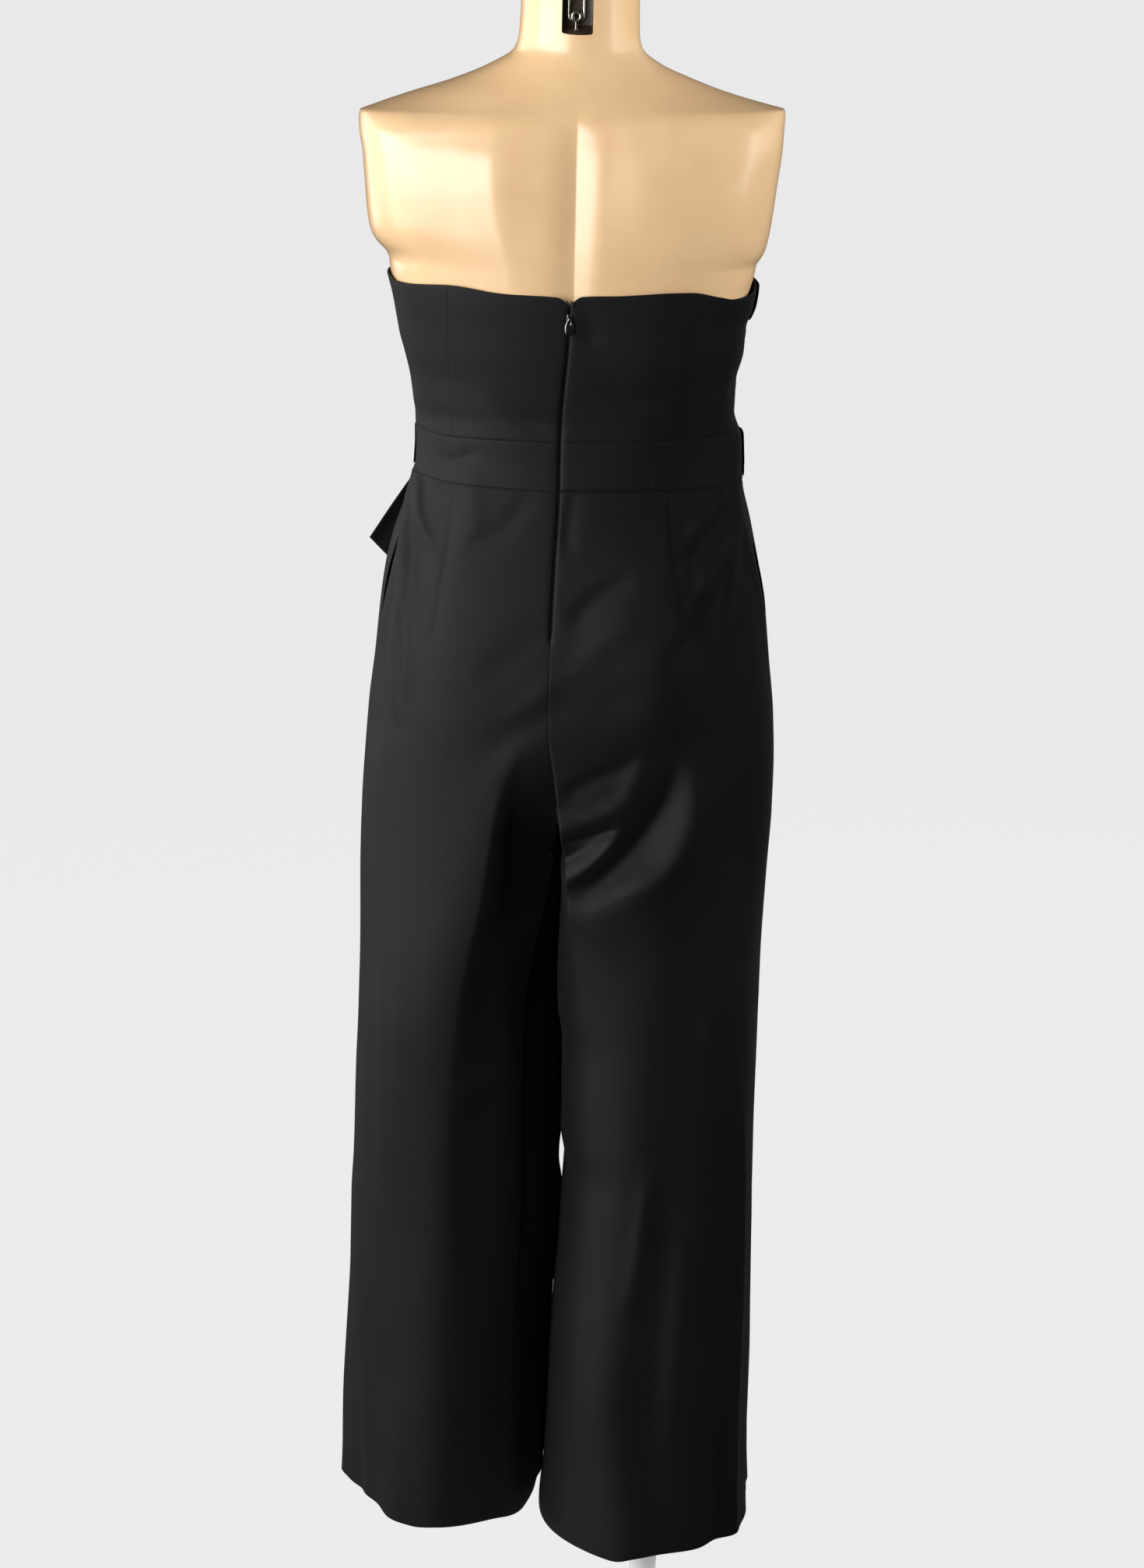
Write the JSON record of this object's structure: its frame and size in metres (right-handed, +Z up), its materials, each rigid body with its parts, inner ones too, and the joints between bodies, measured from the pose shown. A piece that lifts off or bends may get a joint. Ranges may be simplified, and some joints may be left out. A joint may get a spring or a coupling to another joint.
{
  "type": "jumpsuit on dress form",
  "caption": "Strapless wide-legged jumpsuit with a back zip and a sash tied at the hip, worn by an armless, legless dress form on a round plate stand.",
  "frame": {"origin": "centre of the stand's base plate, on its underside, where it rests on the floor", "axes": "+Z up; the wearer faces -Y, so the back with the zip faces +Y; the wearer's left is +X"},
  "size_m": [0.3808, 0.38, 1.632],
  "materials": {
    "crepe": "matte woven crepe with a soft sheen",
    "form_plastic": "satin gloss",
    "zip_metal": "gloss black enamel",
    "bright_metal": "polished",
    "stand_paint": "satin white"
  },
  "bodies": {
    "jumpsuit_on_form": {"bodice_back_centre_left": "crepe", "bodice_back_centre_right": "crepe", "bodice_back_side_left": "crepe", "bodice_back_side_right": "crepe", "bodice_front": "crepe", "waistband_back_left": "crepe", "waistband_back_right": "crepe", "waistband_front": "crepe", "neckline_fold": "crepe", "sash_left": "crepe", "sash_right": "crepe", "sash_knot": "crepe", "sash_tail_side": "crepe", "sash_tail_front": "crepe", "trouser_back_left": "crepe", "trouser_front_left": "crepe", "pocket_facing_left": "crepe", "trouser_back_right": "crepe", "trouser_front_right": "crepe", "pocket_facing_right": "crepe", "zip_slider": "zip_metal", "zip_hook": "zip_metal", "form_torso": "form_plastic", "neck_eye_bolt": "bright_metal", "neck_bail": "bright_metal", "stand_base": "stand_paint", "stand_pole": "stand_paint", "stand_flange": "stand_paint", "stand_collar": "stand_paint"},
    "zip_pull_tab": {"zip_pull_tab": "zip_metal"}
  },
  "joints": [
    {"name": "zip_pull_tab_hinge", "type": "hinge", "parent": "jumpsuit_on_form", "child": "zip_pull_tab", "pos_m": [0.00338, 0.10171, 1.31023], "axis": [1, 0, 0], "range_deg": [0, 165]}
  ]
}
